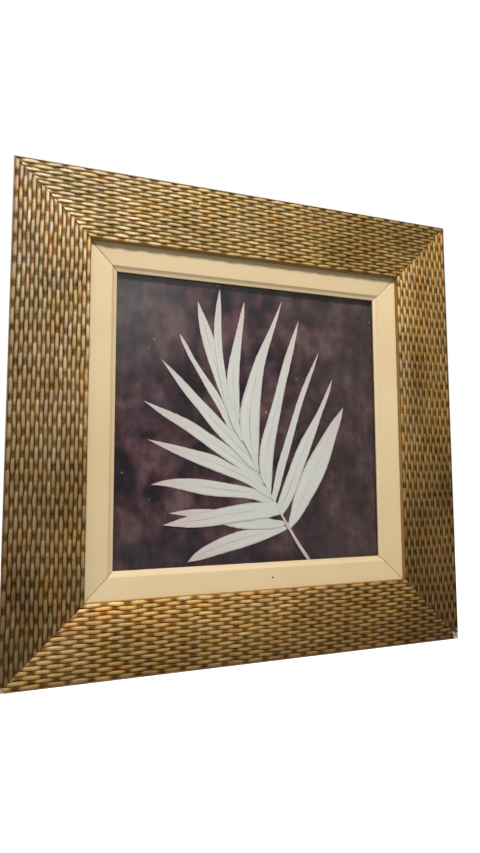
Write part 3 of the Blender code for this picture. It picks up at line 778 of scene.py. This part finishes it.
def close_rail(sheet):
    """Makes the sheet a solid rail: border and side, lip and rabbet, a plain back, mitred ends."""
    outer_z = CENTRE_Z + HALF - BORDER
    inner_z = CENTRE_Z + HALF - RAIL_WIDTH
    lip_y = FACE_Y - LIP_RISE + GROOVE_DEPTH
    outer_y = FACE_Y - LIP_RISE * BORDER / RAIL_WIDTH + GROOVE_DEPTH - 0.6 * BUMP_HEIGHT
    edit(sheet)
    bpy.ops.mesh.normals_make_consistent(inside=False)
    pick_open_edges(sheet, lambda co: abs(co.z - outer_z) < TOUCH)
    # The border stands a little above the strands, and its edge to the side is eased in two steps
    rim = outer_y - FACE_Y + 0.1 * MM
    pull(-rim, 0.2 * MM)
    pull(0.0, BORDER - 0.5 * MM)
    pull(0.1 * MM, 0.2 * MM)
    pull(0.3 * MM, 0.1 * MM)
    pull(BACK_Y - outer_y + rim - 0.4 * MM, 0.0)
    pick_open_edges(sheet, lambda co: abs(co.z - inner_z) < TOUCH)
    rabbet_y = FACE_Y - LIP_RISE + LIP_STEP
    pull(rabbet_y - lip_y, 0.0)
    pull(0.0, RABBET_WIDTH)
    pull(BACK_Y - rabbet_y, 0.0)
    pick_open_edges(sheet, lambda co: abs(co.y - BACK_Y) < TOUCH)
    bpy.ops.mesh.bridge_edge_loops()
    for end in (-1, 1):
        outward = Vector((end, 0, -1)).normalized()
        pick_all()
        bpy.ops.mesh.bisect(plane_co=Vector((0, 0, CENTRE_Z)) - outward * MITRE_GAP / 2, plane_no=outward,
                            use_fill=True, clear_outer=True)
    pick_all()
    bpy.ops.mesh.normals_make_consistent(inside=False)
    start(sheet)


def paint_rail(rail, wood):
    """Gilt on the weave, dark paint on border and sides, bare wood on the back and in the joints."""
    for finish in (GILT, EDGE, wood):
        rail.data.materials.append(finish)
    outer_z = CENTRE_Z + HALF - BORDER + 0.1 * MM
    inner_z = CENTRE_Z + HALF - RAIL_WIDTH + 0.1 * MM
    for face in rail.data.polygons:
        middle = face.center
        if face.normal.y > 0.5 or abs(face.normal.x) > 0.7 and abs(face.normal.z) > 0.7:
            face.material_index = 2
        elif middle.z > outer_z or middle.z < inner_z:
            face.material_index = 1
        else:
            face.material_index = 0


def turn_to_side(piece, quarter):
    """Turns a piece of the top side about the frame's middle to another side, in its mesh."""
    middle = Matrix.Translation((0, 0, CENTRE_Z))
    piece.data.transform(middle @ Matrix.Rotation(quarter * math.pi / 2, 4, "Y") @ middle.inverted())
    piece.data.update()


def add_patina_and_light(rail, side):
    """Paints light and shade into the gilding: darker and browner towards the lower right, greyer at the
    upper left, each rail as bright as the light falls on its strands, and paler where it is rubbed or where a
    painted highlight falls.

    The level is the red, and the green and blue follow it with the rail's tint.
    """
    co = places(rail.data)
    right = (co[:, 0] + HALF) / (2 * HALF)
    down = (CENTRE_Z + HALF - co[:, 2]) / (2 * HALF)
    # Painted light: each rail brighter at one end than at the other, as the light falls
    first, last = RAIL_PAINTED_LIGHT[side]
    level = first + (last - first) * (right if side in ("top", "bottom") else down)
    level *= 1 + CLOUDS * smooth_field(co[:, 0], co[:, 2], CLOUD_WAVES)
    # Painted cool light: greyer and bluer towards the upper left
    pale = np.clip(1 - 1.3 * right - 0.8 * down, 0, 1)
    # Painted shade: browner towards the lower right
    brown = np.clip(0.5 * right + 0.9 * down - 0.4, 0, 1)
    from_lip = np.maximum(np.abs(co[:, 0]), np.abs(co[:, 2] - CENTRE_Z)) - HALF + RAIL_WIDTH
    along = right if side == "bottom" else down
    # Pale strands beside the lip: wear, and a painted highlight on the right rail
    rubbed = RAIL_RUB_AND_SHEEN[side] * np.clip(1 - from_lip / RUB_REACH, 0, 1) * np.clip(1.1 - 1.3 * along, 0, 1)
    level *= (1 + 0.55 * rubbed) * (1 - 0.10 * pale ** 2)
    level *= 1 + RAIL_FADE[side] * (0.4 - from_lip / RAIL_WIDTH)
    green, blue = RAIL_TINT[side]
    green = level * green * (1 + 0.19 * pale - 0.07 * brown + 0.14 * rubbed)
    blue = level * blue * (1 + 1.10 * pale - 0.05 * brown + 0.55 * rubbed)
    colour = np.stack([level, green, blue, np.ones_like(level)], -1)
    layer = rail.data.attributes.new("patina_and_light", "FLOAT_COLOR", "POINT")
    layer.data.foreach_set("color", colour.astype(np.float32).ravel())


def make_rails():
    """The four woven rails."""
    for side, quarter in SIDES.items():
        rail = strand_sheet()
        lay_sheet(rail)
        close_rail(rail)
        paint_rail(rail, WOOD_ALONG if quarter % 2 == 0 else WOOD_UP)
        turn_to_side(rail, quarter)
        add_patina_and_light(rail, side)
        start(rail)
        bpy.ops.object.shade_smooth_by_angle(angle=math.radians(48))
        finish_piece(rail, "woven_rail_" + side, "gilt_moulding", "moulding_" + side)


def copy_node(node):
    """A new piece with the merged mesh of a CAD node."""
    piece = bpy.data.objects.new(node + "_copy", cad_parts[node].data.copy())
    bpy.context.scene.collection.objects.link(piece)
    edit(piece)
    pick_all()
    bpy.ops.mesh.customdata_custom_splitnormals_clear()
    bpy.ops.mesh.remove_doubles(threshold=MERGE)
    bpy.ops.mesh.dissolve_limited(angle_limit=0.01)
    start(piece)
    piece.data.materials.clear()
    return piece


def make_liner():
    """The liner's rails with softened edges: cream in front, bare wood behind."""
    for side, quarter in SIDES.items():
        rail = copy_node("liner_" + side)
        apply_modifier(rail, "BEVEL", width=0.3 * MM, segments=3, limit_method="ANGLE",
                       angle_limit=math.radians(12))
        rail.data.materials.append(CREAM)
        rail.data.materials.append(WOOD_ALONG if quarter % 2 == 0 else WOOD_UP)
        for face in rail.data.polygons:
            face.material_index = 1 if face.center.y > GLASS_Y + 2 * MM else 0
        start(rail)
        bpy.ops.object.shade_flat()
        finish_piece(rail, "cream_liner_" + side, "cream_liner", "liner_" + side)


def front_outline(node):
    """The corners round the front of a flat node, in order."""
    shape = bmesh.new()
    shape.from_mesh(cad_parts[node].data)
    bmesh.ops.remove_doubles(shape, verts=shape.verts, dist=MERGE)
    behind = [face for face in shape.faces if face.normal.y > -0.9]
    bmesh.ops.delete(shape, geom=behind, context="FACES")
    edge = next(line for line in shape.edges if line.is_boundary)
    first = point = edge.verts[0]
    outline = []
    while not outline or point is not first:
        outline.append(point.co.copy())
        point = edge.other_vert(point)
        edge = next(line for line in point.link_edges if line.is_boundary and line is not edge)
    shape.free()
    return outline


def along_chain(chain, count):
    """Evenly spaced points along a chain of points, eased by two passes of averaging."""
    chain = np.array([tuple(point) for point in chain])
    steps = np.r_[0, np.cumsum(np.linalg.norm(np.diff(chain, axis=0), axis=1))]
    spread = np.linspace(0, steps[-1], count)
    eased = np.stack([np.interp(spread, steps, chain[:, axis]) for axis in range(3)], -1)
    for _ in range(2):
        eased[1:-1] = (eased[:-2] + 2 * eased[1:-1] + eased[2:]) / 4
    return eased


def stalk_line():
    """Two ends of the stalk: its cut end and its top."""
    co = places(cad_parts["stem"].data)
    return co[np.argmin(co[:, 2])], co[np.argmax(co[:, 2])]


def nearest_on_line(point, ends):
    """The point of a stretch of line that is nearest to a point."""
    first, last = ends
    run = last - first
    return first + run * np.clip(np.dot(point - first, run) / np.dot(run, run), 0, 1)


def gap_to_line(point, ends):
    """How far a point is from a stretch of line."""
    return np.linalg.norm(point - nearest_on_line(point, ends))


def blade_edges(node):
    """The two edges of a leaflet's solid, each from its foot to its tip."""
    outline = [np.array(point) for point in front_outline(node)]
    gaps = [gap_to_line(point, stalk_ends) for point in outline]
    tip = int(np.argmax(gaps))
    outline = outline[tip:] + outline[:tip]
    gaps = gaps[tip:] + gaps[:tip]
    foot = min(range(2, len(outline) - 2), key=lambda i: gaps[i] + gaps[i + 1])
    one = along_chain(outline[:foot + 1][::-1], BLADE_STEPS + 1)
    other = along_chain(outline[foot + 1:] + outline[:1], BLADE_STEPS + 1)
    halfway = BLADE_STEPS // 2
    if np.cross(one[halfway] - one[0], other[halfway] - one[0])[1] > 0:
        one, other = other, one
    return one, other


def draw_foot_in(node, one, other):
    """Draws a leaflet's foot on to the stalk.  A long foot runs down along the stalk and broadens there."""
    foot_place = (one[0] + other[0]) / 2
    downwards = (stalk_ends[0] - stalk_ends[1]) / np.linalg.norm(stalk_ends[0] - stalk_ends[1])
    long_foot = node in LONG_FEET
    goal = nearest_on_line(foot_place, stalk_ends) + downwards * (FOOT_RUN if long_foot else 0.0)
    pull_in = goal - foot_place
    pull_in[1] = 0
    overlap = END_OVERLAP if node.startswith("leaflet_end") else FOOT_OVERLAP
    pull_in *= 1 + overlap / np.linalg.norm(pull_in)
    from_foot = np.arange(BLADE_STEPS + 1) / BLADE_STEPS
    share = np.clip(1 - from_foot / (LONG_FOOT_SHARE if long_foot else FOOT_SHARE), 0, 1)[:, None] ** 1.3
    one, other = one + share * pull_in, other + share * pull_in
    if long_foot:
        broad = LONG_FEET[node] * np.exp(-((from_foot - BROAD_PLACE) / BROAD_PLACE) ** 2)[:, None]
        span = other - one
        one, other = one - broad * span, other + broad * span
    return one, other


def make_leaflet(node):
    """A thin blade between its two edges, finely ragged, sunk along the midrib and gently wavy."""
    one, other = draw_foot_in(node, *blade_edges(node))
    start()
    bpy.ops.mesh.primitive_grid_add(x_subdivisions=BLADE_ACROSS, y_subdivisions=BLADE_STEPS, size=1)
    blade = bpy.context.object
    mesh = blade.data
    grid = places(mesh) + (0.5, 0.5, 0)
    across, along = grid[:, 0], grid[:, 1]
    row = np.round(along * BLADE_STEPS).astype(int)
    ragged = random.normal(0, 1, (2, BLADE_STEPS + 1)) * BLADE_EDGE_WANDER
    to_tip, from_foot = np.linspace(12, 0, BLADE_STEPS + 1), np.linspace(0, 12, BLADE_STEPS + 1)
    ragged *= np.minimum(1, to_tip) * np.minimum(1, from_foot)
    span = other - one
    wide = np.linalg.norm(span, axis=1, keepdims=True) + 1e-9
    one = one + span / wide * ragged[0][:, None]
    other = other + span / wide * ragged[1][:, None]
    co = one[row] + (other[row] - one[row]) * across[:, None]
    off = np.abs(across - 0.5) * 2
    flat_when_narrow = np.minimum(1, wide[row, 0] / (6 * MM))
    wave = smooth_field(co[:, 0], co[:, 2], BLADE_WAVES, 4)
    back = BLADE_WAVE * wave + MIDRIB_DEPTH * np.exp(-(off / 0.09) ** 2) + RIM_CURL * off ** 3
    co[:, 1] = BLADE_FRONT[node] + BLADE_SET_BACK + flat_when_narrow * back
    put_places(mesh, co)
    name_uv(mesh, "blade", across, along)
    edit(blade)
    pick_all()
    bpy.ops.mesh.remove_doubles(threshold=MERGE)
    bpy.ops.mesh.normals_make_consistent(inside=False)
    start(blade)
    if sum(face.normal.y for face in mesh.polygons) > 0:
        edit(blade)
        pick_all()
        bpy.ops.mesh.flip_normals()
    apply_modifier(blade, "SOLIDIFY", thickness=BLADE_THICK, offset=-1.0)
    bpy.ops.object.shade_smooth_by_angle(angle=math.radians(40))
    blade.data.materials.append(LEAF)
    finish_piece(blade, node.replace("leaflet", "blade"), "pressed_leaf", node)


def make_stalk():
    """The stalk, rounded and smoothed from its solid, thinner and flatter between the leaflets."""
    stalk = copy_node("stem")
    co = places(stalk.data)
    first, last = stalk_ends
    run = (last - first) / np.linalg.norm(last - first)
    along = (co - first) @ run
    axis = first + along[:, None] * run
    share = np.interp(along / np.linalg.norm(last - first), STALK_PLACES, STALK_SHARES)
    thin = axis + (co - axis) * share[:, None]
    back = co[:, 1].max()
    thin[:, 1] = back + (co[:, 1] - back) * np.interp(share, FLAT_SHARES, FLATNESS)
    put_places(stalk.data, thin)
    apply_modifier(stalk, "SUBSURF", levels=2, render_levels=2)
    stalk.data.materials.append(STALK)
    bpy.ops.object.shade_smooth_by_angle(angle=math.radians(50))
    finish_piece(stalk, "stalk", "dried_stalk", "stem")


def dress_nodes():
    """Finishes on the solids whose shape is right as it is."""
    finishes = {"glass": GLASS, "mount_board": GROUND, "backing_board": HARDBOARD}
    for node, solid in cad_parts.items():
        finish = STEEL if node.startswith(("glazier_point", "hanger", "nail")) else finishes.get(node)
        if finish:
            solid.data.materials.clear()
            solid.data.materials.append(finish)
    # So that the glass doesn't darken the leaf behind it
    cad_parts["glass"].visible_shadow = False
    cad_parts["glass"].visible_diffuse = False


def make_floor():
    """A pale floor well below, white to the camera."""
    start()
    bpy.ops.mesh.primitive_plane_add(size=FLOOR_SIZE, location=FLOOR_PLACE)
    floor = bpy.context.object
    floor.name = "floor"
    made, tree, shader, place = new_material("pale floor", 0.9)
    shade = ramp(tree, noise(tree, place, 2.0), [(0.3, 0.58), (0.7, 0.63)])
    paint(tree, shader, shade)
    shader.inputs["Emission Color"].default_value = (1, 1, 1, 1)
    seen = add_node(tree, "LightPath").outputs["Is Camera Ray"]
    tree.links.new(seen, shader.inputs["Emission Strength"])
    floor.data.materials.append(made)


def make_lamp(name, place, width, height, power, colour):
    """A rectangular lamp that shines at the middle of the frame."""
    data = bpy.data.lights.new(name, "AREA")
    data.shape = "RECTANGLE"
    data.size = width
    data.size_y = height
    data.energy = power
    data.color = colour
    lamp = bpy.data.objects.new(name, data)
    bpy.context.scene.collection.objects.link(lamp)
    lamp.location = place
    lamp.rotation_euler = (Vector((0, 0, CENTRE_Z)) - Vector(place)).to_track_quat("-Z", "Y").to_euler()


def make_world():
    """Soft light all round, brighter from above and dim in front of the glass; the camera sees it white."""
    world = bpy.data.worlds.new("studio")
    bpy.context.scene.world = world
    world.use_nodes = True
    tree = world.node_tree
    tree.nodes.clear()
    ray = add_node(tree, "TexCoord").outputs["Generated"]
    seen = add_node(tree, "LightPath").outputs["Is Camera Ray"]
    apart = add_node(tree, "SeparateXYZ", i0=ray).outputs
    high = minus(tree, apart[2], times(tree, apart[0], 0.5))
    sky = ramp(tree, plus(tree, times(tree, high, 0.5), 0.5),
               [(0.20, 0.01), (0.38, 0.03), (0.50, 0.09), (0.62, 0.46), (0.82, 0.60)])
    shown = mix(tree, seen, sky, (1.0, 1.0, 1.0))
    back = add_node(tree, "Background", Color=shown, Strength=1.0).outputs[0]
    tree.links.new(back, add_node(tree, "OutputWorld").inputs[0])


def make_camera():
    """The camera at its solved place, turned by yaw, pitch and roll."""
    data = bpy.data.cameras.new("camera")
    data.lens = CAMERA_LENS
    data.sensor_width = SENSOR_WIDTH
    data.clip_start = 0.01
    camera = bpy.data.objects.new("camera", data)
    bpy.context.scene.collection.objects.link(camera)
    yaw, pitch = CAMERA_YAW, CAMERA_PITCH
    ahead = Vector((math.sin(yaw) * math.cos(pitch), math.cos(yaw) * math.cos(pitch), math.sin(pitch)))
    right = Vector((math.cos(yaw), -math.sin(yaw), 0))
    up = right.cross(ahead)
    turned_right = math.cos(CAMERA_ROLL) * right + math.sin(CAMERA_ROLL) * up
    turned_up = -math.sin(CAMERA_ROLL) * right + math.cos(CAMERA_ROLL) * up
    turn = Matrix((turned_right, turned_up, -ahead)).transposed().to_4x4()
    camera.matrix_world = Matrix.Translation(CAMERA_PLACE) @ turn
    bpy.context.scene.camera = camera


make_rails()
make_liner()
stalk_ends = stalk_line()
for leaflet in LEAFLETS:
    make_leaflet(leaflet)
make_stalk()
dress_nodes()
make_floor()
make_world()
for lamp_name, settings in LAMPS.items():
    make_lamp(lamp_name, *settings)
make_camera()
bpy.context.scene.view_settings.view_transform = "Standard"
